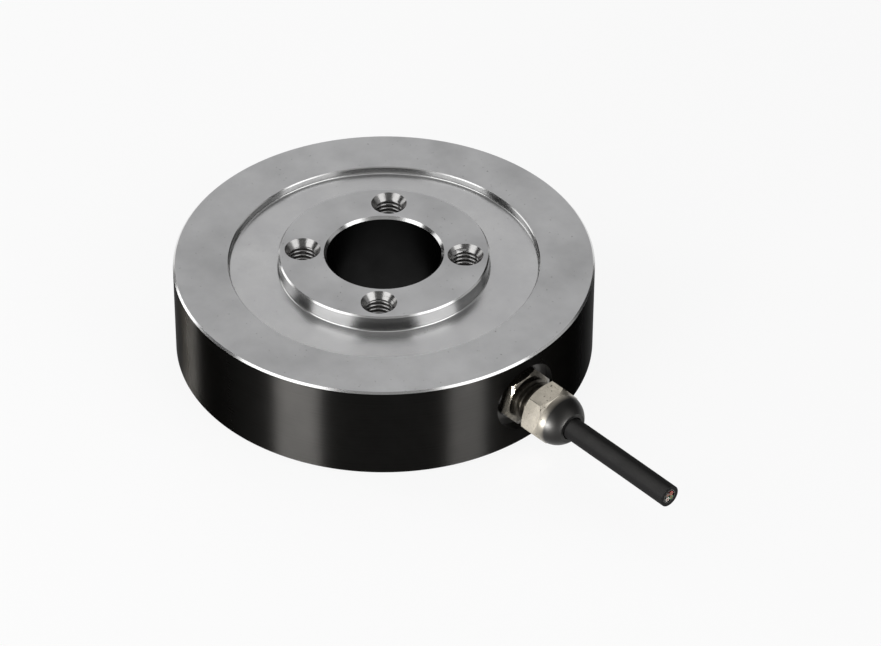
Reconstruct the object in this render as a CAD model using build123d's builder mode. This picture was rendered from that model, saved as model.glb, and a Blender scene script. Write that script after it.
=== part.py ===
import os
from math import cos, radians, sqrt, tan

from build123d import *

os.makedirs("parts", exist_ok=True)

# Spring body: one turned disc, base on Z = 0, load axis along +Z, cable leaving along +X
body_diameter = 110
ring_height = 26.5
boss_diameter = 55
boss_rise = 2.4
recess_width = 13
recess_depth = 2.1
bore_diameter = 30
membrane_thickness = 6
cavity_width = 14.5
hub_clearance = 0.5
body_chamfer = 0.5
boss_chamfer = 0.4
bore_chamfer = 0.7
recess_chamfer = 0.25
foot_fillet = 0.5
cut_past = 1

# Tapped holes in the load face
thread_diameter = 8
thread_depth = 14
tap_drill_diameter = 6.8
tap_drill_run_out = 2
drill_point_angle = 118
countersink_diameter = 9.4
hole_circle = 42.5
hole_count = 4
first_hole_angle = 45

# Welded cover under the gauge cavity
cover_thickness = 1.2
cover_set_back = 1.0
cover_lap = 1.75
weld_gap = 0.05

# Cable port and its spot-faced pocket in the side
gland_height = 13.75
pocket_diameter = 19
pocket_depth = 3.2
port_thread_diameter = 12
port_thread_depth = 7.3
wire_hole_clearance = 0.3
thread_clearance = 0.1

# Cable gland
hex_size = 14
hex_turn = 10
hex_face_diameter = 13.4
hex_face_slope = 30
trim_allowance = 0.2
gasket_thickness = 0.8
gasket_width = 1.3
gasket_chamfer = 0.2
gland_thread_length = 6.5
thread_end_chamfer = 0.5
thread_relief = 0.3
base_hex_length = 3
cap_gap = 4.9
cap_hex_length = 5.8
cap_shoulder = 1.3
cap_thread_engagement = 5
dome_diameter = 13.8
dome_length = 5.5
sleeve_wall = 1.0
cage_wall = 0.6
cage_slot_width = 0.8
cage_slot_count = 6
cage_head = 4.2
cage_taper = 1.0
socket_depth = 6.5
gland_fit = 0.1
mouth_clearance = 0.25
mouth_round = 0.3

# Cable
cable_diameter = 5.8
jacket_wall = 1.0
shield_wall = 0.18
core_diameter = 1.25
core_fit = 0.01
core_bend = 0.9
jacket_set_back = 0.5
fan_inset = 0.5
fan_straight = 1.2
fan_shift = 0.5
cable_drop = [(0, 0), (12, 0), (24, -0.03), (35, -0.12)]

# Measuring bridge under the membrane
gauge_width = 5.2
gauge_thickness = 0.2
gauge_edge_gap = 0.9
gauge_terminal_gap = 0.65
terminal_ring_width = 3.4
lead_overlap = 0.325
lead_width = 0.5
lead_thickness = 0.1
lead_spacing = 1.8
resistor_length = 3.2
resistor_width = 1.6
resistor_thickness = 0.6
resistor_chamfer = 0.1
resistor_angles = {
    "zero_trim_resistor": 80,
    "zero_temp_resistor": 100,
    "span_resistor": 260,
    "span_temp_resistor": 280,
}
core_pad_angles = {"core_red": 7.5, "core_black": -7.5, "core_green": 2.5, "core_white": -2.5}

# Radii and heights that follow from the driving sizes
body_radius = body_diameter / 2
boss_radius = boss_diameter / 2
recess_radius = boss_radius + recess_width
bore_radius = bore_diameter / 2
cavity_radius = boss_radius + cavity_width
load_face = ring_height + boss_rise
membrane_top = ring_height - recess_depth
membrane_bottom = membrane_top - membrane_thickness
cover_top = cover_set_back + cover_thickness
ring_seat_radius = cavity_radius + cover_lap
hub_seat_radius = boss_radius - cover_lap

# Radii across the annulus that the gauges share with the terminal ring
terminal_radius = (boss_radius + cavity_radius) / 2
terminal_inner = terminal_radius - terminal_ring_width / 2
terminal_outer = terminal_radius + terminal_ring_width / 2
gauge_length = terminal_inner - gauge_terminal_gap - boss_radius - gauge_edge_gap
lead_length = gauge_terminal_gap + 2 * lead_overlap

# Stations along the gland, measured from the load axis
pocket_floor = body_radius - pocket_depth
base_hex_start = pocket_floor + gasket_thickness
base_hex_end = base_hex_start + base_hex_length
cap_start = base_hex_end + cap_gap
gland_thread_end = cap_start + cap_thread_engagement
cap_hex_end = cap_start + cap_hex_length
mouth = cap_hex_end + dome_length
jacket_start = cavity_radius + jacket_set_back

# Radii around the cable, from the jacket outwards
cable_radius = cable_diameter / 2
wire_hole_radius = cable_radius + wire_hole_clearance
sleeve_inner = cable_radius + gland_fit / 2
sleeve_outer = sleeve_inner + sleeve_wall
cage_inner = sleeve_outer + gland_fit / 2
cage_outer = cage_inner + cage_wall
socket_radius = cage_outer + gland_fit
gland_thread_radius = port_thread_diameter / 2 - thread_clearance
gland_bore = cable_radius + mouth_clearance
socket_floor = gland_thread_end - socket_depth
cage_end = gland_thread_end + cage_head

# Turned outline that trims the hexagons' corners
hex_corner = hex_size / 2 / cos(radians(30))
trim_radius = hex_corner + trim_allowance
hex_shoulder = (trim_radius - hex_face_diameter / 2) * tan(radians(hex_face_slope))

gland_plane = Plane((0, 0, gland_height), x_dir=(1, 0, 0), z_dir=(0, -1, 0))
gland_axis = Axis((0, 0, gland_height), (1, 0, 0))


def side_plane(station):
    """A plane across the gland axis at a distance from the load axis."""
    return Plane((station, 0, gland_height), x_dir=(0, 1, 0), z_dir=(1, 0, 0))


def circle_edges(shape, radius, height):
    """The circular edges of a turned shape at one radius and one height."""
    edges = shape.edges().filter_by(GeomType.CIRCLE)
    return [e for e in edges if abs(e.radius - radius) < 0.01 and abs(e.center().Z - height) < 0.01]


def drill_point(radius):
    """Length of a drill's conical point."""
    return radius / tan(radians(drill_point_angle / 2))


def finish(builder, name):
    """Label a finished piece and write its STEP file."""
    builder.part.label = name
    export_step(builder.part, f"parts/{name}.step")


# Spring body: the turned section, then the edges, the tapped holes and the cable port
with BuildPart() as sensor_body:
    with BuildSketch(Plane.XZ):
        with BuildLine():
            Polyline(
                (bore_radius, hub_clearance),
                (bore_radius, load_face),
                (boss_radius, load_face),
                (boss_radius, membrane_top),
                (recess_radius, membrane_top),
                (recess_radius, ring_height),
                (body_radius, ring_height),
                (body_radius, 0),
                (ring_seat_radius, 0),
                (ring_seat_radius, cover_top),
                (cavity_radius, cover_top),
                (cavity_radius, membrane_bottom),
                (boss_radius, membrane_bottom),
                (boss_radius, cover_top),
                (hub_seat_radius, cover_top),
                (hub_seat_radius, hub_clearance),
                close=True,
            )
        make_face()
    revolve(axis=Axis.Z)
    chamfer(circle_edges(sensor_body.part, body_radius, ring_height), body_chamfer)
    chamfer(circle_edges(sensor_body.part, body_radius, 0), body_chamfer)
    chamfer(circle_edges(sensor_body.part, recess_radius, ring_height), recess_chamfer)
    chamfer(circle_edges(sensor_body.part, boss_radius, load_face), boss_chamfer)
    chamfer(circle_edges(sensor_body.part, bore_radius, load_face), bore_chamfer)
    chamfer(circle_edges(sensor_body.part, bore_radius, hub_clearance), bore_chamfer)
    fillet(circle_edges(sensor_body.part, boss_radius, membrane_top), foot_fillet)
    fillet(circle_edges(sensor_body.part, recess_radius, membrane_top), foot_fillet)
    fillet(circle_edges(sensor_body.part, boss_radius, membrane_bottom), foot_fillet)
    fillet(circle_edges(sensor_body.part, cavity_radius, membrane_bottom), foot_fillet)
    with Locations((0, 0, load_face)):
        with PolarLocations(hole_circle / 2, hole_count, start_angle=first_hole_angle):
            CounterSinkHole(thread_diameter / 2, countersink_diameter / 2, depth=thread_depth)
    with Locations((0, 0, load_face - thread_depth)):
        with PolarLocations(hole_circle / 2, hole_count, start_angle=first_hole_angle):
            Hole(tap_drill_diameter / 2, depth=tap_drill_run_out)
    with Locations((0, 0, load_face - thread_depth - tap_drill_run_out)):
        with PolarLocations(hole_circle / 2, hole_count, start_angle=first_hole_angle):
            Cone(
                bottom_radius=0,
                top_radius=tap_drill_diameter / 2,
                height=drill_point(tap_drill_diameter / 2),
                align=(Align.CENTER, Align.CENTER, Align.MAX),
                mode=Mode.SUBTRACT,
            )
    with BuildSketch(side_plane(pocket_floor)):
        Circle(pocket_diameter / 2)
    extrude(amount=2 * pocket_depth, mode=Mode.SUBTRACT)
    with BuildSketch(side_plane(pocket_floor)):
        Circle(port_thread_diameter / 2)
    extrude(amount=-port_thread_depth, mode=Mode.SUBTRACT)
    with BuildSketch(side_plane(pocket_floor)):
        Circle(wire_hole_radius)
    extrude(amount=cavity_radius - pocket_floor - cut_past, mode=Mode.SUBTRACT)
finish(sensor_body, "sensor_body")

# Bottom cover: a flat ring in the two seats under the gauge cavity
with BuildPart() as bottom_cover:
    with BuildSketch(Plane.XY.offset(cover_set_back)):
        Circle(ring_seat_radius - weld_gap)
        Circle(hub_seat_radius + weld_gap, mode=Mode.SUBTRACT)
    extrude(amount=cover_thickness)
finish(bottom_cover, "bottom_cover")

# Terminal ring: flexible printed ring bonded under the middle of the membrane
with BuildPart() as terminal_ring:
    with BuildSketch(Plane.XY.offset(membrane_bottom)):
        Circle(terminal_outer)
        Circle(terminal_inner, mode=Mode.SUBTRACT)
    extrude(amount=-gauge_thickness)
finish(terminal_ring, "terminal_ring")

# Strain gauges: four near the hub and four near the ring wall, under the tapped holes' angles
gauge_radii = {
    "inner": boss_radius + gauge_edge_gap + gauge_length / 2,
    "outer": cavity_radius - gauge_edge_gap - gauge_length / 2,
}
for row, gauge_radius in gauge_radii.items():
    for index in range(4):
        angle = first_hole_angle + 90 * index
        with BuildPart() as strain_gauge:
            with BuildSketch(Plane.XY.offset(membrane_bottom).rotated((0, 0, angle))):
                with Locations((gauge_radius, 0)):
                    RectangleRounded(gauge_length, gauge_width, gauge_length / 10)
            extrude(amount=-gauge_thickness)
        finish(strain_gauge, f"strain_gauge_{row}_{index + 1}")

# Gauge leads: two ribbons from each gauge to the terminal ring, flat under both
lead_radii = [terminal_inner - gauge_terminal_gap / 2, terminal_outer + gauge_terminal_gap / 2]
with BuildPart() as gauge_leads:
    for index in range(4):
        angle = first_hole_angle + 90 * index
        lead_plane = Plane.XY.offset(membrane_bottom - gauge_thickness).rotated((0, 0, angle))
        with BuildSketch(lead_plane):
            for lead_radius in lead_radii:
                with Locations((lead_radius, lead_spacing / 2), (lead_radius, -lead_spacing / 2)):
                    Rectangle(lead_length, lead_width)
        extrude(amount=-lead_thickness)
finish(gauge_leads, "gauge_leads")

# Trimming resistors: chips soldered under the terminal ring
for name, angle in resistor_angles.items():
    with BuildPart() as resistor:
        chip_plane = Plane.XY.offset(membrane_bottom - gauge_thickness).rotated((0, 0, angle))
        with BuildSketch(chip_plane):
            with Locations((terminal_radius, 0)):
                Rectangle(resistor_width, resistor_length)
        extrude(amount=-resistor_thickness)
        chamfer(resistor.faces().sort_by(Axis.Z)[0].edges(), resistor_chamfer)
    finish(resistor, name)

# Gland gasket between the pocket floor and the gland's hexagon
with BuildPart() as gland_gasket:
    with BuildSketch(side_plane(pocket_floor)):
        Circle(port_thread_diameter / 2 + thread_clearance + gasket_width)
        Circle(port_thread_diameter / 2 + thread_clearance, mode=Mode.SUBTRACT)
    extrude(amount=gasket_thickness)
    outer_edges = gland_gasket.edges().filter_by(GeomType.CIRCLE).group_by(SortBy.RADIUS)[-1]
    chamfer(outer_edges, gasket_chamfer)
finish(gland_gasket, "gland_gasket")

# Gland body: hexagon with chamfered corners between two male threads, bored for the cable
with BuildPart() as gland_body:
    with BuildSketch(side_plane(base_hex_start)):
        RegularPolygon(hex_size / 2, 6, major_radius=False, rotation=hex_turn)
    extrude(amount=base_hex_length)
    with BuildSketch(gland_plane):
        with BuildLine():
            Polyline(
                (base_hex_start, 0),
                (base_hex_start, trim_radius),
                (base_hex_end - hex_shoulder, trim_radius),
                (base_hex_end, hex_face_diameter / 2),
                (base_hex_end, 0),
                close=True,
            )
        make_face()
    revolve(axis=gland_axis, mode=Mode.INTERSECT)
    with BuildSketch(gland_plane):
        with BuildLine():
            Polyline(
                (pocket_floor - gland_thread_length, gland_bore),
                (pocket_floor - gland_thread_length, gland_thread_radius - thread_end_chamfer),
                (pocket_floor - gland_thread_length + thread_end_chamfer, gland_thread_radius),
                (gland_thread_end - thread_end_chamfer, gland_thread_radius),
                (gland_thread_end, gland_thread_radius - thread_end_chamfer),
                (gland_thread_end, gland_bore),
                close=True,
            )
        make_face()
    revolve(axis=gland_axis)
    with BuildSketch(side_plane(pocket_floor - gland_thread_length)):
        Circle(gland_bore)
    extrude(amount=gland_thread_end - pocket_floor + gland_thread_length, mode=Mode.SUBTRACT)
    with BuildSketch(side_plane(socket_floor)):
        Circle(socket_radius)
    extrude(amount=socket_depth, mode=Mode.SUBTRACT)
finish(gland_body, "gland_body")

# Seal sleeve: rubber tube around the jacket
with BuildPart() as seal_sleeve:
    with BuildSketch(side_plane(socket_floor)):
        Circle(sleeve_outer)
        Circle(sleeve_inner, mode=Mode.SUBTRACT)
    extrude(amount=cage_end - socket_floor)
finish(seal_sleeve, "seal_sleeve")

# Clamp cage: plastic tube with a tapered, slotted head that the cap nut closes on the sleeve
with BuildPart() as clamp_cage:
    with BuildSketch(gland_plane):
        with BuildLine():
            Polyline(
                (socket_floor, cage_inner),
                (socket_floor, cage_outer),
                (gland_thread_end, cage_outer),
                (cage_end, cage_outer - cage_taper * cage_wall / 2),
                (cage_end, cage_inner),
                close=True,
            )
        make_face()
    revolve(axis=gland_axis)
    with Locations(Location((cage_end, 0, gland_height), (0, 90, 0))):
        with PolarLocations(cage_outer, cage_slot_count):
            Box(
                3 * cage_wall,
                cage_slot_width,
                cage_head + cut_past,
                align=(Align.CENTER, Align.CENTER, Align.MAX),
                mode=Mode.SUBTRACT,
            )
finish(clamp_cage, "clamp_cage")

# Cap nut: hexagon trimmed by a turned outline with the dome, bored from the thread to the mouth
with BuildPart() as cap_nut:
    dome_radius = dome_diameter / 2
    dome_middle, dome_rim = 0.6 * dome_length, 0.96 * dome_length
    with BuildSketch(side_plane(cap_start)):
        RegularPolygon(hex_size / 2, 6, major_radius=False, rotation=hex_turn)
    extrude(amount=cap_hex_length + dome_length)
    with BuildSketch(gland_plane):
        with BuildLine():
            dome = ThreePointArc(
                (cap_hex_end, dome_radius),
                (cap_hex_end + dome_middle, sqrt(dome_radius**2 - dome_middle**2)),
                (cap_hex_end + dome_rim, sqrt(dome_radius**2 - dome_rim**2)),
            )
            Polyline(
                dome @ 1,
                (mouth, (dome @ 1).Y - mouth_round),
                (mouth, 0),
                (cap_start, 0),
                (cap_start, hex_face_diameter / 2),
                (cap_start + hex_shoulder, trim_radius),
                (cap_hex_end - cap_shoulder, trim_radius),
                dome @ 0,
            )
        make_face()
    revolve(axis=gland_axis, mode=Mode.INTERSECT)
    with BuildSketch(gland_plane):
        with BuildLine():
            Polyline(
                (cap_start, 0),
                (cap_start, port_thread_diameter / 2),
                (gland_thread_end + thread_relief, port_thread_diameter / 2),
                (gland_thread_end + thread_relief, cage_outer + 2 * gland_fit),
                (cage_end + gland_fit, cage_outer - cage_taper * cage_wall / 2 + 2 * gland_fit),
                (cage_end + gland_fit, cable_radius + mouth_clearance),
                (mouth, cable_radius + mouth_clearance),
                (mouth, 0),
                close=True,
            )
        make_face()
    revolve(axis=gland_axis, mode=Mode.SUBTRACT)
finish(cap_nut, "cap_nut")

# Cable: the free stretch from the gland's mouth, with its inner layers on the same route
route = [(mouth + run, 0, gland_height + drop) for run, drop in cable_drop]
runs = [Vector(*b) - Vector(*a) for a, b in zip(route, route[1:])]
bend_radii = [
    0.45 * min(a.length, b.length) / tan(radians(a.get_angle(b) / 2)) for a, b in zip(runs, runs[1:])
]
print("cable bend radii", [round(r) for r in bend_radii], "mm")

with BuildPart() as cable:
    with BuildLine():
        FilletPolyline(*route, radius=bend_radii)
    with BuildSketch(side_plane(mouth)):
        Circle(cable_radius)
        Circle(cable_radius - jacket_wall, mode=Mode.SUBTRACT)
    sweep()
finish(cable, "cable")

with BuildPart() as cable_in_gland:
    with BuildSketch(side_plane(jacket_start)):
        Circle(cable_radius)
        Circle(cable_radius - jacket_wall, mode=Mode.SUBTRACT)
    extrude(amount=mouth - jacket_start)
finish(cable_in_gland, "cable_in_gland")

shield_outer = cable_radius - jacket_wall - core_fit
shield_inner = shield_outer - shield_wall
with BuildPart() as cable_shield:
    with BuildSketch(side_plane(jacket_start)):
        Circle(shield_outer)
        Circle(shield_inner, mode=Mode.SUBTRACT)
    extrude(amount=mouth - jacket_start)
    with BuildLine():
        FilletPolyline(*route, radius=bend_radii)
    with BuildSketch(side_plane(mouth)):
        Circle(shield_outer)
        Circle(shield_inner, mode=Mode.SUBTRACT)
    sweep()
finish(cable_shield, "cable_shield")

# Conductors: side by side in the shield, fanned out in the cavity to pads on the terminal ring
core_radius = core_diameter / 2
core_offset = core_radius + core_fit
core_sides = {"core_red": (1, 1), "core_black": (-1, 1), "core_green": (1, -1), "core_white": (-1, -1)}
pad_height = membrane_bottom - gauge_thickness
for name, (side, level) in core_sides.items():
    pad = Vector(terminal_radius, 0, 0).rotate(Axis.Z, core_pad_angles[name])
    y, z = side * core_offset, gland_height + level * core_offset
    fan_start = cavity_radius - fan_inset
    fan_bend = fan_start - fan_straight
    with BuildPart() as core:
        with BuildLine():
            FilletPolyline(
                (fan_start, y, z),
                (fan_bend, y, z),
                ((fan_bend + pad.X) / 2 + fan_shift, pad.Y, z),
                (pad.X, pad.Y, z),
                (pad.X, pad.Y, pad_height),
                radius=core_bend,
            )
        with BuildSketch(Plane((fan_start, y, z), x_dir=(0, 1, 0), z_dir=(-1, 0, 0))):
            Circle(core_radius)
        sweep()
        with BuildSketch(side_plane(fan_start)):
            with Locations((side * core_offset, level * core_offset)):
                Circle(core_radius)
        extrude(amount=mouth - fan_start)
    with BuildPart() as free_core:
        with BuildLine():
            FilletPolyline(*route, radius=bend_radii)
        with BuildSketch(side_plane(mouth)):
            with Locations((side * core_offset, level * core_offset)):
                Circle(core_radius)
        sweep()
    with BuildPart() as whole_core:
        add(core.part)
        add(free_core.part)
    finish(whole_core, name)
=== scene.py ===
import math

import bmesh
import bpy
from mathutils import Matrix, Quaternion, Vector


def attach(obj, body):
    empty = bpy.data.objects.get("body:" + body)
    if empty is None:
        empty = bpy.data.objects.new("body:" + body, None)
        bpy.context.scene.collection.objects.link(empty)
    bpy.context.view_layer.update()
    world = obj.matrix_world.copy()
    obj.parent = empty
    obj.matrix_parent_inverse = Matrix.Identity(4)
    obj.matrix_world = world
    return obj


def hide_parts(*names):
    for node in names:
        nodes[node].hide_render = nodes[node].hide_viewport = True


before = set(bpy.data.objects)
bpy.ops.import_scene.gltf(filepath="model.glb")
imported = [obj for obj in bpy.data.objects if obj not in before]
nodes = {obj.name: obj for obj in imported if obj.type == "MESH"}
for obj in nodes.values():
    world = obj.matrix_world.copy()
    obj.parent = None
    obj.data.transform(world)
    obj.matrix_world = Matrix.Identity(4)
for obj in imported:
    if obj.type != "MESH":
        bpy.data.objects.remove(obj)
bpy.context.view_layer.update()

# Camera: the photograph looks down on the ring from the cable's side, from far off with a long
# lens. It stands on the line through the middle of the underside and is turned a little, so that
# this middle falls where the photograph has it.
photo_size = (881, 646)
photo_base_centre = (384.3, 338.0)
camera_azimuth = math.radians(48.7)
camera_elevation = math.radians(38.67)
camera_roll = math.radians(0.3)
camera_distance = 1.1275
camera_lens = 174.15
sensor_width = 36

upwards = Vector((0, 0, 1))
camera_side = Vector((math.sin(camera_azimuth), -math.cos(camera_azimuth), 0))
camera_back = camera_side * math.cos(camera_elevation) + upwards * math.sin(camera_elevation)
camera_right = Matrix.Rotation(camera_roll, 3, camera_back) @ upwards.cross(camera_side)
camera_up = camera_back.cross(camera_right)
metres_per_pixel = sensor_width / photo_size[0] / camera_lens * camera_distance
aim = camera_right * (photo_size[0] / 2 - photo_base_centre[0]) * metres_per_pixel
aim += camera_up * (photo_base_centre[1] - photo_size[1] / 2) * metres_per_pixel

camera_data = bpy.data.cameras.new("photo_camera")
camera_data.lens = camera_lens
camera_data.sensor_width = sensor_width
camera_data.clip_start = 0.05
camera_data.clip_end = 20
camera = bpy.data.objects.new("photo_camera", camera_data)
camera.location = camera_back * camera_distance
camera.rotation_mode = "QUATERNION"
sight_line = (camera.location - aim).to_track_quat("Z", "Y")
camera.rotation_quaternion = sight_line @ Quaternion((0, 0, 1), camera_roll)
bpy.context.scene.collection.objects.link(camera)
bpy.context.scene.camera = camera
bpy.context.scene.view_settings.view_transform = "Standard"


# Cable jacket: the free stretch of a round sheath of matt black PVC, extruded over the braid and
# cut off square. It leaves the gland's mouth level and sinks a little towards its end. Its upper
# side is painted lighter in soft patches, as painted light falling from above.
cable_route = [
    (0.0718, 0, 0.01375),
    (0.0838, 0, 0.01375),
    (0.0958, 0, 0.01372),
    (0.1068, 0, 0.01363),
]
cable_radius = 0.0029
jacket_wall = 0.001
jacket_black = (0.003, 0.0029, 0.0029, 1)
# A lighter grey, painted on the jacket's upper side as painted light.
jacket_painted_light = (0.015, 0.0147, 0.0144, 1)
jacket_roughness = 0.62
jacket_gloss = 0.04


def principled(name, colour, roughness, metallic=0.0):
    """A new material with its node tree and its Principled shader."""
    material = bpy.data.materials.new(name)
    material.use_nodes = True
    tree = material.node_tree
    shader = tree.nodes["Principled BSDF"]
    shader.inputs["Base Color"].default_value = colour
    shader.inputs["Roughness"].default_value = roughness
    shader.inputs["Metallic"].default_value = metallic
    return material, tree, shader


def add_node(tree, kind, inputs=None, **settings):
    """A shader node with its settings made and its sockets set or linked."""
    made = tree.nodes.new("ShaderNode" + kind)
    for setting, value in settings.items():
        setattr(made, setting, value)
    for socket, value in (inputs or {}).items():
        if isinstance(value, bpy.types.NodeSocket):
            tree.links.new(value, made.inputs[socket])
        else:
            made.inputs[socket].default_value = value
    return made


def own_place(tree):
    """Where a point lies in the object's own coordinates."""
    return add_node(tree, "TexCoord").outputs["Object"]


def parts_of(tree, vector):
    """A vector's X, Y and Z."""
    return add_node(tree, "SeparateXYZ", {0: vector}).outputs


def worked_out(tree, operation, *values):
    """The result of a Math node on one to three values."""
    return add_node(tree, "Math", dict(enumerate(values)), operation=operation).outputs[0]


def mixed(tree, factor, first, second):
    """A colour between two others."""
    return add_node(tree, "Mix", {0: factor, 6: first, 7: second}, data_type="RGBA").outputs[2]


def spread(tree, value, low, high, to_low=0.0, to_high=1.0):
    """A value brought from one range to another and kept within it."""
    limits = {"From Min": low, "From Max": high, "To Min": to_low, "To Max": to_high}
    return add_node(tree, "MapRange", {"Value": value, **limits}).outputs["Result"]


def noise(tree, scale, detail=2.0, **more):
    """Noise on the object's own coordinates."""
    inputs = {"Vector": own_place(tree), "Scale": scale, "Detail": detail, **more}
    return add_node(tree, "TexNoise", inputs).outputs["Fac"]


def rough_up(tree, shader, height, strength, distance):
    """Bumps a shader's surface by a height, on top of the bump it has already."""
    bump = add_node(tree, "Bump", {"Height": height, "Strength": strength, "Distance": distance})
    for link in shader.inputs["Normal"].links:
        tree.links.new(link.from_socket, bump.inputs["Normal"])
    tree.links.new(bump.outputs["Normal"], shader.inputs["Normal"])


def new_group(name, given, wanted):
    """A node group with what goes in and what has to come out."""
    group = bpy.data.node_groups.new(name, "ShaderNodeTree")
    for socket in given:
        group.interface.new_socket(socket, in_out="INPUT", socket_type="NodeSocketFloat")
    for socket in wanted:
        group.interface.new_socket(socket, in_out="OUTPUT", socket_type="NodeSocketFloat")
    entry = group.nodes.new("NodeGroupInput")
    leave = group.nodes.new("NodeGroupOutput")
    return group, entry.outputs, leave.inputs


mottle, entry, leave = new_group(
    "mottle", ("Cloud Scale", "Cloud Detail", "Grain Scale", "Grain Detail"), ("Cloud", "Grain")
)
mottle.links.new(noise(mottle, entry["Cloud Scale"], entry["Cloud Detail"]), leave["Cloud"])
mottle.links.new(noise(mottle, entry["Grain Scale"], entry["Grain Detail"]), leave["Grain"])


def mottled(tree, cloud_scale, cloud_detail, grain_scale, grain_detail=2):
    """Soft clouds and a fine grain, each at a material's own scale."""
    scales = {
        "Cloud Scale": cloud_scale,
        "Cloud Detail": cloud_detail,
        "Grain Scale": grain_scale,
        "Grain Detail": grain_detail,
    }
    marks = add_node(tree, "Group", scales, node_tree=mottle).outputs
    return marks["Cloud"], marks["Grain"]


def make_piece(name, bm, materials, smooth_angle=30):
    """An object at the origin from a bmesh, shaded smooth except at its sharper edges."""
    mesh = bpy.data.meshes.new(name)
    bm.to_mesh(mesh)
    bm.free()
    for material in materials:
        mesh.materials.append(material)
    mesh.shade_smooth()
    mesh.set_sharp_from_angle(angle=math.radians(smooth_angle))
    piece = bpy.data.objects.new(name, mesh)
    bpy.context.scene.collection.objects.link(piece)
    return piece


def finish_node(name, material):
    """Gives a solid that stays as it is its material."""
    nodes[name].data.materials.clear()
    nodes[name].data.materials.append(material)


def nurbs_points(route):
    """Points along the smooth NURBS line whose control points are the route's."""
    curve = bpy.data.curves.new("route", "CURVE")
    curve.dimensions = "3D"
    spline = curve.splines.new("NURBS")
    spline.points.add(len(route) - 1)
    for spot, point in zip(spline.points, route):
        spot.co = (*point, 1)
    spline.order_u = 3
    spline.use_endpoint_u = True
    holder = bpy.data.objects.new("route", curve)
    line = bpy.data.meshes.new_from_object(holder)
    points = [vert.co.copy() for vert in line.vertices]
    bpy.data.objects.remove(holder)
    bpy.data.meshes.remove(line)
    bpy.data.curves.remove(curve)
    return points


def tube(points, radius, wall, segments=64):
    """A bmesh tube along a nearly straight line in X, with a flat ring at either end."""
    bm = bmesh.new()
    upright = Matrix.Translation(points[0]) @ Matrix.Rotation(math.radians(90), 4, "Y")
    outer, inner = [
        bmesh.ops.create_circle(bm, radius=size, segments=segments, matrix=upright)["verts"]
        for size in (radius, radius - wall)
    ]
    for corner in range(segments):
        bm.faces.new((outer[corner], outer[corner - 1], inner[corner - 1], inner[corner]))
    grown = bm.faces[:] + bm.edges[:]
    for here, there in zip(points, points[1:]):
        grown = bmesh.ops.extrude_face_region(bm, geom=grown)["geom"]
        verts = [part for part in grown if isinstance(part, bmesh.types.BMVert)]
        bmesh.ops.translate(bm, verts=verts, vec=there - here)
    bmesh.ops.recalc_face_normals(bm, faces=bm.faces[:])
    return bm


cable_line = nurbs_points(cable_route)
jacket_material, tree, shader = principled("matt_black_pvc", jacket_black, jacket_roughness)
shader.inputs["Specular IOR Level"].default_value = jacket_gloss
cloud, grain = mottled(tree, cloud_scale=260, cloud_detail=4, grain_scale=2600)
# Painted light: faces that look up are painted lighter in soft patches, as if lit from above.
facing_up = parts_of(tree, add_node(tree, "NewGeometry").outputs["Normal"])["Z"]
lit_from_above = spread(tree, facing_up, 0.3, 1)
patches = spread(tree, cloud, 0.3, 0.75, to_low=0.75, to_high=1.15)
painted_top_light = worked_out(tree, "MULTIPLY", lit_from_above, patches)
tree.links.new(mixed(tree, painted_top_light, jacket_black, jacket_painted_light), shader.inputs["Base Color"])
rough_up(tree, shader, grain, strength=0.35, distance=0.00004)
cable_jacket = make_piece("cable_jacket", tube(cable_line, cable_radius, jacket_wall), [jacket_material])
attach(cable_jacket, "root")
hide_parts("cable")
finish_node("cable_in_gland", jacket_material)


# Cable shield: a braid of fine tinned copper wires under the jacket. Its strands cross at an angle
# around the cable, and only its cut end shows.
braid_tin = (0.1, 0.096, 0.09, 1)
braid_shade = (0.025, 0.024, 0.022, 1)
strand_turns = 12
strand_pitch = 0.0042

braid_material, tree, shader = principled("tinned_braid", braid_tin, roughness=0.38, metallic=1)
where = parts_of(tree, own_place(tree))
above = worked_out(tree, "SUBTRACT", where["Z"], cable_route[0][2])
around = worked_out(tree, "ARCTAN2", where["Y"], above)
waves = []
for lean in (1, -1):
    along = worked_out(tree, "MULTIPLY", where["X"], lean * 2 * math.pi / strand_pitch)
    angle = worked_out(tree, "MULTIPLY_ADD", around, strand_turns, along)
    waves.append(worked_out(tree, "SINE", angle))
weave = worked_out(tree, "MAXIMUM", *waves)
woven = mixed(tree, spread(tree, weave, -0.5, 0.4), braid_shade, braid_tin)
tree.links.new(woven, shader.inputs["Base Color"])
rough_up(tree, shader, weave, strength=0.6, distance=0.00006)
finish_node("cable_shield", braid_material)


# Cable cores: four insulated conductors side by side in the braid, in red, black, green and white
# PVC. Each shows its copper strands at the cut end.
core_offset = 0.000635
strand_radius = 0.00036
cut_depth = 0.0001
copper = (0.14, 0.07, 0.04, 1)
core_dust = (0.08, 0.076, 0.072, 1)
core_colours = {
    "core_red": ((0.1, 0.01, 0.008, 1), 1, 1),
    "core_black": ((0.008, 0.008, 0.008, 1), -1, 1),
    "core_green": ((0.01, 0.055, 0.02, 1), 1, -1),
    "core_white": ((0.16, 0.155, 0.145, 1), -1, -1),
}

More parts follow.
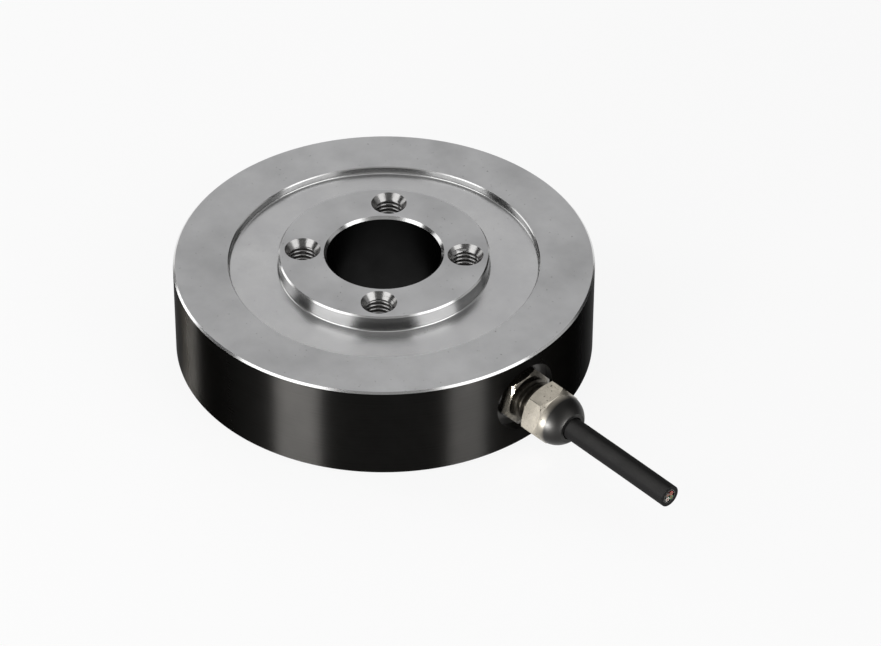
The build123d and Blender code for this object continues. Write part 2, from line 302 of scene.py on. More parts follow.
cut_strands, entry, leave = new_group("cut_strands", ("Centre Y", "Centre Z"), ("Mask",))
where = parts_of(cut_strands, own_place(cut_strands))
squares = []
for axis in ("Y", "Z"):
    step = worked_out(cut_strands, "SUBTRACT", where[axis], entry["Centre " + axis])
    squares.append(worked_out(cut_strands, "POWER", step, 2))
off_centre = worked_out(cut_strands, "ADD", *squares)
inside = worked_out(cut_strands, "LESS_THAN", off_centre, strand_radius**2)
at_end = worked_out(cut_strands, "GREATER_THAN", where["X"], cable_route[-1][0] - cut_depth)
cut_strands.links.new(worked_out(cut_strands, "MULTIPLY", inside, at_end), leave["Mask"])
for name, (colour, side, level) in core_colours.items():
    core_material, tree, shader = principled(name + "_pvc", colour, roughness=0.45)
    centre = {"Centre Y": side * core_offset, "Centre Z": cable_route[-1][2] + level * core_offset}
    strands = add_node(tree, "Group", centre, node_tree=cut_strands).outputs["Mask"]
    cloud, grain = mottled(tree, cloud_scale=700, cloud_detail=3, grain_scale=5000, grain_detail=1)
    faded = mixed(tree, 0.2, colour, core_dust)
    tone = mixed(tree, spread(tree, cloud, 0.4, 0.8), colour, faded)
    tree.links.new(mixed(tree, strands, tone, copper), shader.inputs["Base Color"])
    tree.links.new(strands, shader.inputs["Metallic"])
    rough_up(tree, shader, grain, strength=0.3, distance=0.00003)
    finish_node(name, core_material)


# Sensor body: one disc of stainless steel, turned all over. Its top and raised load face are
# ground satin, the membrane between them is fine turned, and its side is polished and painted
# near-black as a painted dark reflection.
ring_radius = 0.055
ring_height = 0.0265
boss_radius = 0.0275
load_face = 0.0289
recess_radius = 0.0405
membrane_top = 0.0244
membrane_bottom = 0.0184
bore_radius = 0.015
hub_foot = 0.0005
cavity_radius = 0.042
cover_top = 0.0022
cover_bottom = 0.001
outer_seat_radius = 0.04375
inner_seat_radius = 0.02575
ring_chamfer = 0.0005
recess_chamfer = 0.00025
boss_chamfer = 0.0004
bore_chamfer = 0.0007
fillet_radius = 0.0005
fillet_steps = 4
body_segments = 256
overcut = 0.001
margin = 0.0001
touching = 0.000001
nearly_level = 0.98

hole_count = 4
first_hole_degrees = 45
hole_circle_radius = 0.02125
hole_radius = 0.004
countersink_radius = 0.0047
countersink_slope = math.radians(41)
countersink_depth = (countersink_radius - hole_radius) / math.tan(countersink_slope)
thread_depth = 0.014
drill_radius = 0.0034
drill_depth = 0.016
drill_point = 0.00204
hole_segments = 64
hole_thread_pitch = 0.00125
hole_thread_low = load_face - thread_depth + 0.0008
hole_thread_high = load_face - 0.0004
hole_thread_sink = 0.00001
hole_thread_section = [
    (0.00405, -0.00058),
    (0.00332, -0.00016),
    (0.00334, -0.00002),
    (0.00341, 0.00013),
    (0.00352, 0.00027),
    (0.00405, 0.00058),
]

gland_height = 0.01375
pocket_floor = 0.0518
pocket_radius = 0.0095
port_radius = 0.006
port_foot = 0.0445
wire_hole_radius = 0.0032
gland_segments = 96

satin_light = (0.54, 0.54, 0.545, 1)
satin_dark = (0.46, 0.46, 0.465, 1)
turned_light = (0.78, 0.78, 0.775, 1)
turned_dark = (0.7, 0.7, 0.695, 1)
membrane_light = (0.47, 0.47, 0.47, 1)
membrane_dark = (0.41, 0.41, 0.415, 1)
# The side's near-black is a painted dark reflection; the lighter tone marks turning lines and scuffs on
# it.
side_painted_shade = (0.0098, 0.0095, 0.009, 1)
side_painted_shade_worn = (0.0128, 0.0124, 0.0118, 1)
side_edge_tint = (0.33, 0.33, 0.33, 1)
# The bore's near-black steel is painted shade, as in a deep hole.
bore_light = (0.022, 0.022, 0.022, 1)
bore_dark = (0.015, 0.015, 0.015, 1)
hole_light = (0.45, 0.445, 0.44, 1)
hole_dark = (0.36, 0.355, 0.35, 1)
# The gland's pocket is painted dark as shade.
pocket_light = (0.09, 0.088, 0.084, 1)
pocket_dark = (0.055, 0.054, 0.052, 1)
dull_light = (0.36, 0.36, 0.36, 1)
dull_dark = (0.29, 0.29, 0.29, 1)
speck_colour = (0.12, 0.115, 0.11, 1)
mark_depth = 0.00002


def turned(profile, segments):
    """A bmesh solid of revolution about Z from a closed (radius, height) outline."""
    bm = bmesh.new()
    corners = [bm.verts.new((radius, 0, height)) for radius, height in profile]
    outline = [bm.edges.new(pair) for pair in zip(corners, corners[1:] + corners[:1])]
    bmesh.ops.spin(
        bm,
        geom=corners + outline,
        cent=(0, 0, 0),
        axis=(0, 0, 1),
        angle=2 * math.pi,
        steps=segments,
        use_merge=True,
    )
    bmesh.ops.remove_doubles(bm, verts=bm.verts[:], dist=touching / 10)
    bmesh.ops.recalc_face_normals(bm, faces=bm.faces[:])
    return bm


def bevel_circle(bm, radius, height, width, segments=1):
    """Bevels the circular edge at one radius and height."""
    ring = []
    for edge in bm.edges:
        spots = [(math.hypot(vert.co.x, vert.co.y), vert.co.z) for vert in edge.verts]
        if all(abs(r - radius) < touching and abs(z - height) < touching for r, z in spots):
            ring.append(edge)
    bmesh.ops.bevel(
        bm, geom=ring, offset=width, affect="EDGES", segments=segments, profile=0.5, material=-1
    )


def combine(piece, other, operation="DIFFERENCE"):
    """Takes another shape out of a piece, or adds or intersects it, for good."""
    step = piece.modifiers.new("combine", "BOOLEAN")
    step.operation = operation
    step.solver = "EXACT"
    step.object = other
    step.material_mode = "TRANSFER"
    shape = bpy.data.meshes.new_from_object(piece.evaluated_get(bpy.context.evaluated_depsgraph_get()))
    piece.modifiers.clear()
    old = piece.data
    piece.data = shape
    bpy.data.meshes.remove(old)
    bpy.data.objects.remove(other)


def thread_ridge(section, pitch, low, high, steps=40):
    """A bmesh ridge that winds right-handed about Z between two heights, with closed ends."""
    bm = bmesh.new()
    corners = [bm.verts.new((radius, 0, low + rise)) for radius, rise in section]
    outline = [bm.edges.new(pair) for pair in zip(corners, corners[1:] + corners[:1])]
    count = round((high - low) / pitch * steps)
    bmesh.ops.spin(
        bm,
        geom=corners + outline,
        cent=(0, 0, 0),
        axis=(0, 0, 1),
        dvec=(0, 0, pitch / steps),
        angle=2 * math.pi * count / steps,
        steps=count,
    )
    open_edges = [edge for edge in bm.edges if edge.is_boundary]
    bmesh.ops.holes_fill(bm, edges=open_edges, sides=len(section))
    bmesh.ops.recalc_face_normals(bm, faces=bm.faces[:])
    return bm


def add_shell(piece, bm, material):
    """Adds a closed shell of one of a piece's materials to its mesh."""
    slot = piece.data.materials.find(material.name)
    for face in bm.faces:
        face.material_index = slot
        face.smooth = True
    extra = bpy.data.meshes.new("extra")
    bm.to_mesh(extra)
    bm.free()
    whole = bmesh.new()
    whole.from_mesh(piece.data)
    whole.from_mesh(extra)
    whole.to_mesh(piece.data)
    whole.free()
    bpy.data.meshes.remove(extra)


def from_axis(tree):
    """How far a point lies from the Z axis."""
    flat = add_node(tree, "VectorMath", {0: own_place(tree), 1: (1, 1, 0)}, operation="MULTIPLY")
    return add_node(tree, "VectorMath", {0: flat.outputs[0]}, operation="LENGTH").outputs["Value"]


def fine_lines(tree, value, scale, detail):
    """Noise that changes along one value only, as the marks of turning do."""
    inputs = {"W": value, "Scale": scale, "Detail": detail}
    return add_node(tree, "TexNoise", inputs, noise_dimensions="1D").outputs["Fac"]


metal_marks, entry, leave = new_group("metal_marks", (), ("Cloud", "Grain", "Specks", "Rings"))
metal_marks.links.new(noise(metal_marks, scale=75, detail=5, Roughness=0.6), leave["Cloud"])
metal_marks.links.new(noise(metal_marks, scale=3200), leave["Grain"])
specks = spread(metal_marks, noise(metal_marks, scale=1300, detail=1), 0.755, 0.775)
metal_marks.links.new(specks, leave["Specks"])
rings = fine_lines(metal_marks, from_axis(metal_marks), scale=2600, detail=3)
metal_marks.links.new(rings, leave["Rings"])


def steel(name, light, dark, specks, roughness, rings, grain):
    """A bare steel with soft clouds, a few specks, turning marks and fine grain."""
    material, tree, shader = principled(name, light, roughness, metallic=1)
    mark = add_node(tree, "Group", node_tree=metal_marks).outputs
    tone = mixed(tree, spread(tree, mark["Cloud"], 0.3, 0.7), dark, light)
    specked = worked_out(tree, "MULTIPLY", mark["Specks"], specks)
    tree.links.new(mixed(tree, specked, tone, speck_colour), shader.inputs["Base Color"])
    gloss = spread(tree, mark["Cloud"], 0.25, 0.75, to_low=roughness * 1.08, to_high=roughness * 0.92)
    tree.links.new(gloss, shader.inputs["Roughness"])
    rough_up(tree, shader, mark["Rings"], strength=rings, distance=mark_depth)
    rough_up(tree, shader, mark["Grain"], strength=grain, distance=mark_depth)
    return material, tree, shader


def stretch_gloss(tree, shader, amount, across):
    """Stretches a shader's gloss along the circles about Z, or across them."""
    shader.inputs["Anisotropic"].default_value = amount
    shader.inputs["Anisotropic Rotation"].default_value = 0.25 if across else 0
    around = add_node(tree, "Tangent", direction_type="RADIAL", axis="Z")
    tree.links.new(around.outputs[0], shader.inputs["Tangent"])


ground_steel, tree, shader = steel(
    "ground_steel", satin_light, satin_dark, specks=0.55, roughness=0.42, rings=0.05, grain=0.18
)
stretch_gloss(tree, shader, 0.8, across=False)
turned_steel = steel(
    "turned_steel", turned_light, turned_dark, specks=0.2, roughness=0.17, rings=0, grain=0.04
)[0]
membrane_steel, tree, shader = steel(
    "membrane_steel", membrane_light, membrane_dark, specks=0.5, roughness=0.24, rings=0.03, grain=0.05
)
stretch_gloss(tree, shader, 0.7, across=True)
# Painted dark reflection: the polished side's base colour is near-black, with lighter turning lines and
# scuffs.
side_steel, tree, shader = principled("side_steel", side_painted_shade, roughness=0.32, metallic=1)
stretch_gloss(tree, shader, 1, across=True)
shader.inputs["Specular Tint"].default_value = side_edge_tint
lines = fine_lines(tree, parts_of(tree, own_place(tree))["Z"], scale=1900, detail=4)
tone = mixed(tree, spread(tree, lines, 0.35, 0.75), side_painted_shade, side_painted_shade_worn)
scuffs = spread(tree, noise(tree, scale=160, detail=5, Roughness=0.65), 0.42, 0.7)
tree.links.new(mixed(tree, scuffs, tone, side_painted_shade_worn), shader.inputs["Base Color"])
# Painted shade: the bore and its chamfers are near-black steel.
bore_painted_shade, tree, shader = steel(
    "bore_painted_shade", bore_light, bore_dark, specks=0, roughness=0.4, rings=0, grain=0.1
)
shader.inputs["Specular Tint"].default_value = side_edge_tint
hole_steel = steel("hole_steel", hole_light, hole_dark, specks=0, roughness=0.22, rings=0, grain=0.05)[0]
# Painted shade: the pocket around the gland is dark steel.
pocket_painted_shade = steel(
    "pocket_painted_shade", pocket_light, pocket_dark, specks=0, roughness=0.3, rings=0, grain=0.05
)[0]
dull_steel = steel(
    "dull_steel", dull_light, dull_dark, specks=0.6, roughness=0.4, rings=0.2, grain=0.2
)[0]
body_steels = [ground_steel, turned_steel, membrane_steel, side_steel, bore_painted_shade, dull_steel]

bm = turned(
    [
        (bore_radius, hub_foot),
        (bore_radius, load_face),
        (boss_radius, load_face),
        (boss_radius, membrane_top),
        (recess_radius, membrane_top),
        (recess_radius, ring_height),
        (ring_radius, ring_height),
        (ring_radius, 0),
        (outer_seat_radius, 0),
        (outer_seat_radius, cover_top),
        (cavity_radius, cover_top),
        (cavity_radius, membrane_bottom),
        (boss_radius, membrane_bottom),
        (boss_radius, cover_top),
        (inner_seat_radius, cover_top),
        (inner_seat_radius, hub_foot),
    ],
    body_segments,
)
bevel_circle(bm, ring_radius, ring_height, ring_chamfer)
bevel_circle(bm, ring_radius, 0, ring_chamfer)
bevel_circle(bm, recess_radius, ring_height, recess_chamfer)
bevel_circle(bm, boss_radius, load_face, boss_chamfer)
bevel_circle(bm, bore_radius, load_face, bore_chamfer)
bevel_circle(bm, bore_radius, hub_foot, bore_chamfer)
bevel_circle(bm, boss_radius, membrane_top, fillet_radius, fillet_steps)
bevel_circle(bm, recess_radius, membrane_top, fillet_radius, fillet_steps)
bevel_circle(bm, boss_radius, membrane_bottom, fillet_radius, fillet_steps)
bevel_circle(bm, cavity_radius, membrane_bottom, fillet_radius, fillet_steps)
bm.normal_update()
# Each face has the finish of the place where it lies.
for face in bm.faces:
    middle = face.calc_center_median()
    radius = math.hypot(middle.x, middle.y)
    if face.normal.z > nearly_level:
        finish = membrane_steel if abs(middle.z - membrane_top) < margin else ground_steel
    elif radius > ring_radius - ring_chamfer - margin and middle.z < ring_height - ring_chamfer - margin:
        finish = side_steel
    elif middle.z > membrane_top - margin and radius > bore_radius + margin:
        finish = turned_steel
    elif radius < bore_radius + bore_chamfer + margin and face.normal.z > -nearly_level:
        finish = bore_painted_shade
    else:
        finish = dull_steel
    face.material_index = body_steels.index(finish)
sensor_body = make_piece("sensor_disc", bm, body_steels)

holes = []
for index in range(hole_count):
    turn = math.radians(first_hole_degrees + 360 / hole_count * index)
    holes.append(Matrix.Rotation(turn, 4, "Z") @ Matrix.Translation((hole_circle_radius, 0, 0)))
for place in holes:
    bm = turned(
        [
            (0, load_face + overcut),
            (countersink_radius + overcut * math.tan(countersink_slope), load_face + overcut),
            (hole_radius, load_face - countersink_depth),
            (hole_radius, load_face - thread_depth),
            (drill_radius, load_face - thread_depth),
            (drill_radius, load_face - drill_depth),
            (0, load_face - drill_depth - drill_point),
        ],
        hole_segments,
    )
    bmesh.ops.transform(bm, matrix=place, verts=bm.verts[:])
    combine(sensor_body, make_piece("hole_cutter", bm, [hole_steel]))

# What is turned about Z for the gland is laid along X, at the gland's height.
along_gland = Matrix(((0, 0, 1, 0), (1, 0, 0, 0), (0, 1, 0, gland_height), (0, 0, 0, 1)))
bm = turned(
    [
        (0, ring_radius + overcut),
        (pocket_radius, ring_radius + overcut),
        (pocket_radius, pocket_floor),
        (port_radius, pocket_floor),
        (port_radius, port_foot),
        (wire_hole_radius, port_foot),
        (wire_hole_radius, cavity_radius - overcut),
        (0, cavity_radius - overcut),
    ],
    gland_segments,
)
bmesh.ops.transform(bm, matrix=along_gland, verts=bm.verts[:])
combine(sensor_body, make_piece("port_cutter", bm, [pocket_painted_shade]))

# The threads run out in the countersinks, so they are pressed down under the cone.
for place in holes:
    bm = thread_ridge(hole_thread_section, hole_thread_pitch, hole_thread_low, hole_thread_high)
    for vert in bm.verts:
        radius = math.hypot(vert.co.x, vert.co.y)
        cone_height = load_face - (countersink_radius - radius) / math.tan(countersink_slope)
        vert.co.z = min(vert.co.z, cone_height - hole_thread_sink)
    bmesh.ops.transform(bm, matrix=place, verts=bm.verts[:])
    add_shell(sensor_body, bm, hole_steel)
sensor_body.data.set_sharp_from_angle(angle=math.radians(30))
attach(sensor_body, "root")
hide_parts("sensor_body")


# Bottom cover: a flat ring of sheet steel set back in the underside, which closes the gauge
# cavity. Its two rims are welded to the body, and the beads are drawn here.
bead_radius = 0.00035
bead_offset = 0.00003
bead_length = 0.0011
bead_ripple = 0.12
bead_corners = 8
ripple_steps = 4
weld_light = (0.5, 0.49, 0.47, 1)
weld_dark = (0.3, 0.29, 0.28, 1)

finish_node("bottom_cover", dull_steel)
weld_steel = steel("weld_steel", weld_light, weld_dark, specks=0.3, roughness=0.32, rings=0, grain=0.2)[0]
bead = bpy.data.meshes.new("bead")
both_beads = bmesh.new()
for seam_radius in (outer_seat_radius - bead_offset, inner_seat_radius + bead_offset):
    ripples = round(2 * math.pi * seam_radius / bead_length)
    section = [
        (seam_radius + bead_radius * math.cos(turn), cover_bottom + bead_radius * math.sin(turn))
        for turn in [2 * math.pi * corner / bead_corners for corner in range(bead_corners)]
    ]
    bm = turned(section, ripples * ripple_steps)
    for vert in bm.verts:
        angle = math.atan2(vert.co.y, vert.co.x)
        swell = 1 + bead_ripple * math.sin(angle * ripples)
        middle = Vector((seam_radius * math.cos(angle), seam_radius * math.sin(angle), cover_bottom))
        vert.co = middle + (vert.co - middle) * swell
    bm.to_mesh(bead)
    bm.free()
    both_beads.from_mesh(bead)
bpy.data.meshes.remove(bead)
weld_seams = make_piece("weld_seams", both_beads, [weld_steel], 60)
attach(weld_seams, "root")


# Gland body: a hexagon of nickel-plated brass between two male threads. One end is screwed into
# the port in the body's side, and the other carries the cap nut.
hex_size = 0.014
hex_reach = hex_size / 2 / math.cos(math.radians(30))
hex_turn = math.radians(10)
hex_trim = hex_reach + 0.0002
hex_face_radius = 0.0067
hex_edge_round = 0.00012
hex_shoulder = (hex_trim - hex_face_radius) * math.tan(math.radians(30))
base_hex_start = 0.0526
base_hex_end = 0.0556
gland_start = 0.0453
gland_end = 0.0655
gland_root = 0.00508
gland_bore = 0.00315
socket_radius = 0.0047
socket_floor = 0.059
gland_thread_section = [(0.005, -0.00061), (0.0059, -0.0001), (0.0059, 0.0001), (0.005, 0.00061)]
gland_pitch = 0.0015
thread_gap = 0.0006
nickel_light = (0.5, 0.46, 0.39, 1)
nickel_dark = (0.39, 0.36, 0.305, 1)
# A dark tone for tarnish and pits, and the dark end of the painted shade on the base hexagon and threads.
nickel_tarnish_and_shade = (0.05, 0.046, 0.039, 1)
# The base hexagon is painted darker than the cap as shade from the pocket it sits in.
base_hex_painted_shade = (0.19, 0.175, 0.148, 1)
# The threads are painted darker still as shade in the gap between the hexagons.
thread_nickel = (0.085, 0.078, 0.067, 1)
bright_roughness = 0.22
tarnished_roughness = 0.32


def hexagon(low, high):
    """A bmesh hexagonal prism about Z with slightly rounded upright edges."""
    bm = bmesh.new()
    place = Matrix.Translation((0, 0, low)) @ Matrix.Rotation(hex_turn - math.radians(30), 4, "Z")
    bmesh.ops.create_circle(bm, cap_ends=True, radius=hex_reach, segments=6, matrix=place)
    grown = bmesh.ops.extrude_face_region(bm, geom=bm.faces[:])["geom"]
    top = [part for part in grown if isinstance(part, bmesh.types.BMVert)]
    bmesh.ops.translate(bm, verts=top, vec=(0, 0, high - low))
    bmesh.ops.recalc_face_normals(bm, faces=bm.faces[:])
    upright = [edge for edge in bm.edges if abs(edge.verts[0].co.z - edge.verts[1].co.z) > margin]
    bmesh.ops.bevel(
        bm, geom=upright, offset=hex_edge_round, affect="EDGES", segments=2, profile=0.5, material=-1
    )
    return bm


plate_marks, entry, leave = new_group("plate_marks", (), ("Cloud", "Pits", "Grain"))
cloud = spread(plate_marks, noise(plate_marks, scale=420, detail=5, Roughness=0.7), 0.35, 0.65)
plate_marks.links.new(cloud, leave["Cloud"])
pits = spread(plate_marks, noise(plate_marks, scale=1500), 0.66, 0.72)
plate_marks.links.new(pits, leave["Pits"])
plate_marks.links.new(noise(plate_marks, scale=3000), leave["Grain"])

# Painted shade: the base hexagon's nickel is darker, with darker clouds and pits.
nickel, tree, shader = principled("nickel_plate", base_hex_painted_shade, bright_roughness, metallic=1)
mark = add_node(tree, "Group", node_tree=plate_marks).outputs
tone = mixed(tree, mark["Cloud"], nickel_tarnish_and_shade, base_hex_painted_shade)
tree.links.new(mixed(tree, mark["Pits"], tone, nickel_tarnish_and_shade), shader.inputs["Base Color"])
gloss = spread(tree, mark["Cloud"], 0, 1, to_low=tarnished_roughness, to_high=bright_roughness)
tree.links.new(gloss, shader.inputs["Roughness"])
rough_up(tree, shader, mark["Grain"], strength=0.3, distance=mark_depth)
# Painted shade: the threads, neck and socket are dark nickel with darker clouds.
thread_painted_shade, tree, shader = principled("thread_painted_shade", thread_nickel, roughness=0.3, metallic=1)
cloud, grain = mottled(tree, cloud_scale=900, cloud_detail=4, grain_scale=3000)
tone = mixed(tree, spread(tree, cloud, 0.35, 0.65), nickel_tarnish_and_shade, thread_nickel)
tree.links.new(tone, shader.inputs["Base Color"])
rough_up(tree, shader, grain, strength=0.3, distance=mark_depth)

bm = turned(
    [
        (0, base_hex_start),
        (hex_trim, base_hex_start),
        (hex_trim, base_hex_end - hex_shoulder),
        (hex_face_radius, base_hex_end),
        (0, base_hex_end),
    ],
    gland_segments,
)
gland_body = make_piece("gland_fitting", bm, [nickel, thread_painted_shade])
flats = make_piece("hexagon", hexagon(base_hex_start - overcut, base_hex_end + overcut), [nickel])
combine(gland_body, flats, "INTERSECT")
bm = turned(
    [(0, gland_start), (gland_root, gland_start), (gland_root, gland_end), (0, gland_end)],
    gland_segments,
)
combine(gland_body, make_piece("neck", bm, [thread_painted_shade]), "UNION")
bm = turned(
    [
        (0, gland_start - overcut),
        (gland_bore, gland_start - overcut),
        (gland_bore, socket_floor),
        (socket_radius, socket_floor),
        (socket_radius, gland_end + overcut),
        (0, gland_end + overcut),
    ],
    gland_segments,
)
combine(gland_body, make_piece("socket", bm, [thread_painted_shade]))
for low, high in ((gland_start, pocket_floor), (base_hex_end, gland_end)):
    bm = thread_ridge(gland_thread_section, gland_pitch, low + thread_gap, high - thread_gap)
    add_shell(gland_body, bm, thread_painted_shade)
gland_body.data.transform(along_gland)
gland_body.data.set_sharp_from_angle(angle=math.radians(30))
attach(gland_body, "root")
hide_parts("gland_body")


# Cap nut: the gland's outer nut, nickel-plated brass. Its hexagon is satin, and its domed end is
# polished and painted dark, from the hexagon towards the mouth, as painted shade and dark reflection.
# It is screwed over the clamp cage and closes the seal on the cable.
cap_start = 0.0605
cap_shoulder_start = 0.065
cap_hex_end = 0.0663
mouth = 0.0718
mouth_lip = 0.0003
dome_radius = 0.0069
dome_rim = 0.00528
dome_steps = 20
cap_thread_radius = 0.006
cap_relief = 0.0658
cage_room_start = 0.0048
cage_room_end = 0.0045
cage_room_top = 0.0698
darkening_start = 0.0657
darkening_end = 0.0682
# The dome's near-black is painted shade and dark reflection.
dome_painted_shade = (0.026, 0.0255, 0.0245, 1)
flat_roughness = 0.27
dome_roughness = 0.42

cap_material, tree, shader = principled("cap_nickel", nickel_light, flat_roughness, metallic=1)
mark = add_node(tree, "Group", node_tree=plate_marks).outputs
# Painted shade: the nickel turns near-black and rougher along X over the dome.
dome_shade_mask = spread(tree, parts_of(tree, own_place(tree))["X"], darkening_start, darkening_end)
tone = mixed(tree, mark["Pits"], mixed(tree, mark["Cloud"], nickel_dark, nickel_light), nickel_tarnish_and_shade)
tree.links.new(mixed(tree, dome_shade_mask, tone, dome_painted_shade), shader.inputs["Base Color"])
gloss = spread(tree, dome_shade_mask, 0, 1, to_low=flat_roughness, to_high=dome_roughness)
tree.links.new(gloss, shader.inputs["Roughness"])
rough_up(tree, shader, mark["Grain"], strength=0.3, distance=mark_depth)

dome = [
    (dome_radius * math.cos(turn), cap_hex_end + dome_radius * math.sin(turn))
    for turn in [math.asin(dome_rim / dome_radius) * step / dome_steps for step in range(dome_steps + 1)]
]
bm = turned(
    [
        (cap_thread_radius, cap_start),
        (hex_face_radius, cap_start),
        (hex_trim, cap_start + hex_shoulder),
        (hex_trim, cap_shoulder_start),
        *dome,
        (dome[-1][0] - mouth_lip, mouth),
        (gland_bore, mouth),
        (gland_bore, cage_room_top),
        (cage_room_end, cage_room_top),
        (cage_room_start, cap_relief),
        (cap_thread_radius, cap_relief),
    ],
    gland_segments,
)
cap_nut = make_piece("cap_fitting", bm, [cap_material])
flats = make_piece("hexagon", hexagon(cap_start - overcut, mouth + overcut), [cap_material])
combine(cap_nut, flats, "INTERSECT")
cap_nut.data.transform(along_gland)
cap_nut.data.set_sharp_from_angle(angle=math.radians(30))
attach(cap_nut, "root")
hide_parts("cap_nut")


# Gland seals: a gasket under the gland's hexagon and a sleeve around the cable, both of black
# nitrile rubber, and the slotted nylon cage that presses the sleeve on the jacket.
rubber_black = (0.014, 0.014, 0.014, 1)
rubber_bloom = (0.026, 0.025, 0.024, 1)
nylon_dark = (0.15, 0.15, 0.155, 1)
nylon_light = (0.2, 0.2, 0.205, 1)

rubber, tree, shader = principled("nitrile_rubber", rubber_black, roughness=0.7)
cloud, grain = mottled(tree, cloud_scale=900, cloud_detail=3, grain_scale=4200)
tone = mixed(tree, spread(tree, cloud, 0.4, 0.7), rubber_black, rubber_bloom)
tree.links.new(tone, shader.inputs["Base Color"])
rough_up(tree, shader, grain, strength=0.3, distance=0.00003)
finish_node("gland_gasket", rubber)
finish_node("seal_sleeve", rubber)
nylon, tree, shader = principled("grey_nylon", nylon_dark, roughness=0.5)
cloud, grain = mottled(tree, cloud_scale=800, cloud_detail=3, grain_scale=3800)
tone = mixed(tree, spread(tree, cloud, 0.4, 0.7), nylon_dark, nylon_light)
tree.links.new(tone, shader.inputs["Base Color"])
rough_up(tree, shader, grain, strength=0.25, distance=0.00003)
finish_node("clamp_cage", nylon)


# Measuring bridge: eight foil gauges on amber film, a flexible printed ring, tinned ribbons and
# four chip resistors, all bonded under the membrane inside the sealed cavity.
film_amber = (0.36, 0.17, 0.035, 1)
foil = (0.42, 0.33, 0.22, 1)
solder = (0.6, 0.59, 0.57, 1)
ribbon_dark = (0.42, 0.41, 0.4, 1)
ribbon_light = (0.66, 0.65, 0.63, 1)
chip_black = (0.02, 0.02, 0.02, 1)
chip_ceramic = (0.62, 0.6, 0.56, 1)
grid_lines = 900
print_lines = 6500
chip_spacing = math.radians(20)
chip_cap_start = math.radians(1.85)
chip_cap_full = math.radians(1.95)

polar_place, entry, leave = new_group("polar_place", (), ("Radius", "Turn"))
where = parts_of(polar_place, own_place(polar_place))
polar_place.links.new(from_axis(polar_place), leave["Radius"])
polar_place.links.new(worked_out(polar_place, "ARCTAN2", where["Y"], where["X"]), leave["Turn"])


def stripes(tree, place, count):
    """Stripes with sharp edges, so many waves to one unit of a place."""
    wave = worked_out(tree, "SINE", worked_out(tree, "MULTIPLY", place, count))
    return spread(tree, wave, -0.1, 0.1)


film, tree, shader = principled("gauge_film", film_amber, roughness=0.35)
spot = add_node(tree, "Group", node_tree=polar_place).outputs
grid = stripes(tree, spot["Turn"], grid_lines)
tree.links.new(mixed(tree, grid, film_amber, foil), shader.inputs["Base Color"])
tree.links.new(grid, shader.inputs["Metallic"])
for row in ("inner", "outer"):
    for index in range(1, 5):
        finish_node(f"strain_gauge_{row}_{index}", film)
flex, tree, shader = principled("flex_print", film_amber, roughness=0.4)
spot = add_node(tree, "Group", node_tree=polar_place).outputs
tracks = stripes(tree, spot["Radius"], print_lines)
tree.links.new(mixed(tree, tracks, film_amber, copper), shader.inputs["Base Color"])
tree.links.new(tracks, shader.inputs["Metallic"])
finish_node("terminal_ring", flex)
ribbon, tree, shader = principled("tinned_ribbon", solder, roughness=0.3, metallic=1)
cloud, grain = mottled(tree, cloud_scale=1800, cloud_detail=3, grain_scale=4200)
tree.links.new(mixed(tree, cloud, ribbon_dark, ribbon_light), shader.inputs["Base Color"])
rough_up(tree, shader, grain, strength=0.3, distance=mark_depth)
finish_node("gauge_leads", ribbon)
chip, tree, shader = principled("chip_resistor", chip_black, roughness=0.35)
spot = add_node(tree, "Group", node_tree=polar_place).outputs
shift = worked_out(tree, "ADD", spot["Turn"], chip_spacing / 2)
fold = worked_out(tree, "FLOORED_MODULO", shift, chip_spacing)
centred = worked_out(tree, "SUBTRACT", fold, chip_spacing / 2)
ends = spread(tree, worked_out(tree, "ABSOLUTE", centred), chip_cap_start, chip_cap_full)
facing_up = parts_of(tree, add_node(tree, "NewGeometry").outputs["Normal"])["Z"]
tone = mixed(tree, spread(tree, facing_up, -0.9, -0.6), chip_black, chip_ceramic)
tree.links.new(mixed(tree, ends, tone, solder), shader.inputs["Base Color"])
tree.links.new(ends, shader.inputs["Metallic"])
for name in ("zero_trim_resistor", "zero_temp_resistor", "span_resistor", "span_temp_resistor"):
    finish_node(name, chip)


# Floor: a wide, plain pale sheet under the ring. What the camera and the gloss see of it is mostly
# plain white, and the rest is lit, so that the ring keeps a soft shadow.
floor_half_width = 4
floor_colour = (0.8, 0.8, 0.8, 1)
floor_white = 0.88

floor_material, tree, shader = principled("pale_floor", floor_colour, roughness=0.9)
shader.inputs["Specular IOR Level"].default_value = 0
white = add_node(tree, "Emission", {"Color": (1, 1, 1, 1), "Strength": 1})
path = add_node(tree, "LightPath").outputs
seen = worked_out(tree, "MAXIMUM", path["Is Camera Ray"], path["Is Glossy Ray"])
seen = worked_out(tree, "MAXIMUM", seen, path["Is Transmission Ray"])
share = worked_out(tree, "MULTIPLY", seen, floor_white)
blend = add_node(tree, "MixShader", {0: share, 1: shader.outputs[0], 2: white.outputs[0]})
tree.links.new(blend.outputs[0], tree.nodes["Material Output"].inputs["Surface"])
bm = bmesh.new()
bmesh.ops.create_grid(bm, x_segments=1, y_segments=1, size=floor_half_width)
floor = make_piece("floor", bm, [floor_material])


# Lamps: four tall soft panels around the ring, as in a product studio. Three small bright strips
# stand nearer, lower than the ring's top, and draw the light bands down its dark side.
panel_distance = 1.2
strip_distance = 0.65
strip_elevation = 1.19
strip_height = 0.025


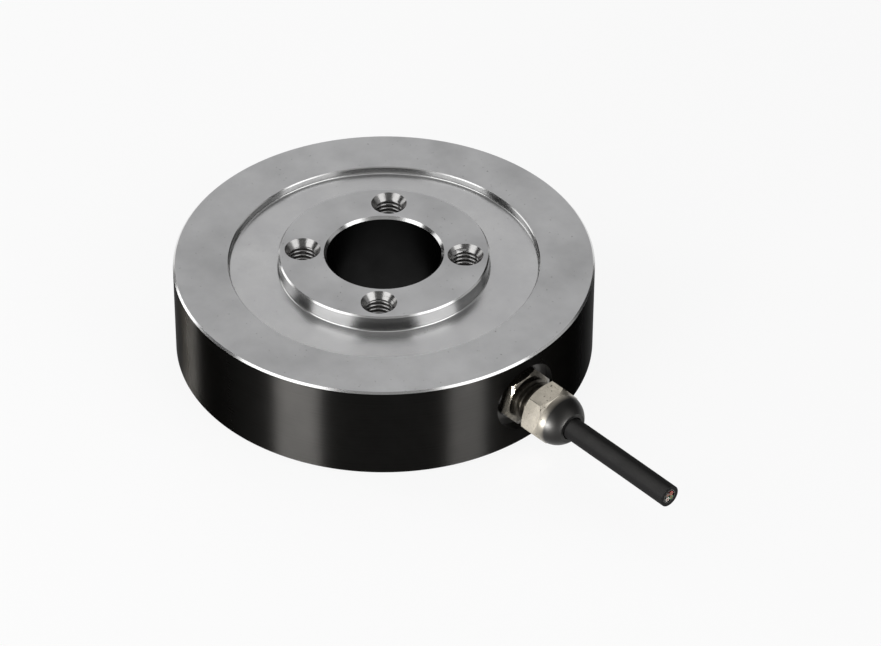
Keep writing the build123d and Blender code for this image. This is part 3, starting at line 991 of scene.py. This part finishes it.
def panel(name, azimuth, elevation, distance, width, height, radiance):
    """An area lamp that faces the ring, placed by its angle from the camera's side."""
    data = bpy.data.lights.new(name, "AREA")
    data.shape = "RECTANGLE"
    data.size = width
    data.size_y = height
    data.energy = radiance * math.pi * width * height
    lamp = bpy.data.objects.new(name, data)
    bpy.context.scene.collection.objects.link(lamp)
    side = Matrix.Rotation(math.radians(azimuth), 3, "Z") @ camera_side
    lean = math.radians(elevation)
    lamp.location = (side * math.cos(lean) + upwards * math.sin(lean)) * distance
    lamp.rotation_mode = "QUATERNION"
    lamp.rotation_quaternion = lamp.location.to_track_quat("Z", "Y")


panel("left_panel", -56, 27, panel_distance, width=0.9, height=1.0, radiance=1.85)
panel("right_panel", 56, 27, panel_distance, width=0.85, height=1.0, radiance=1.8)
panel("back_left_panel", -118, 24, panel_distance, width=0.42, height=0.8, radiance=1.25)
panel("back_right_panel", 100, 27, panel_distance, width=0.95, height=0.32, radiance=0.42)
panel("left_strip", -41.5, strip_elevation, strip_distance, 0.25, strip_height, radiance=820)
panel("right_strip", 39, strip_elevation, strip_distance, 0.2, strip_height, radiance=470)
panel("back_left_strip", -110, strip_elevation, strip_distance, 0.15, strip_height, radiance=1150)


# World: dark all round but for a soft glow, high up behind the ring, which the flat faces mirror
# into the camera, and a weaker one overhead.
glow_elevation = math.radians(40)
glow_edge = 0.78
glow_full = 0.97
glow_strength = 0.94
zenith_edge = 0.6
zenith_full = 0.92
zenith_strength = 0.5
rest_strength = 0.02

world = bpy.data.worlds.new("studio")
world.use_nodes = True
bpy.context.scene.world = world
tree = world.node_tree
glow_way = upwards * math.sin(glow_elevation) - camera_side * math.cos(glow_elevation)
way = add_node(tree, "TexCoord").outputs["Generated"]
towards = add_node(tree, "VectorMath", {0: way, 1: glow_way}, operation="DOT_PRODUCT").outputs["Value"]
glow = spread(tree, towards, glow_edge, glow_full, to_low=rest_strength, to_high=glow_strength)
overhead = spread(tree, parts_of(tree, way)["Z"], zenith_edge, zenith_full, to_high=zenith_strength)
background = tree.nodes["Background"]
background.inputs["Color"].default_value = (1, 1, 1, 1)
tree.links.new(worked_out(tree, "MAXIMUM", glow, overhead), background.inputs["Strength"])
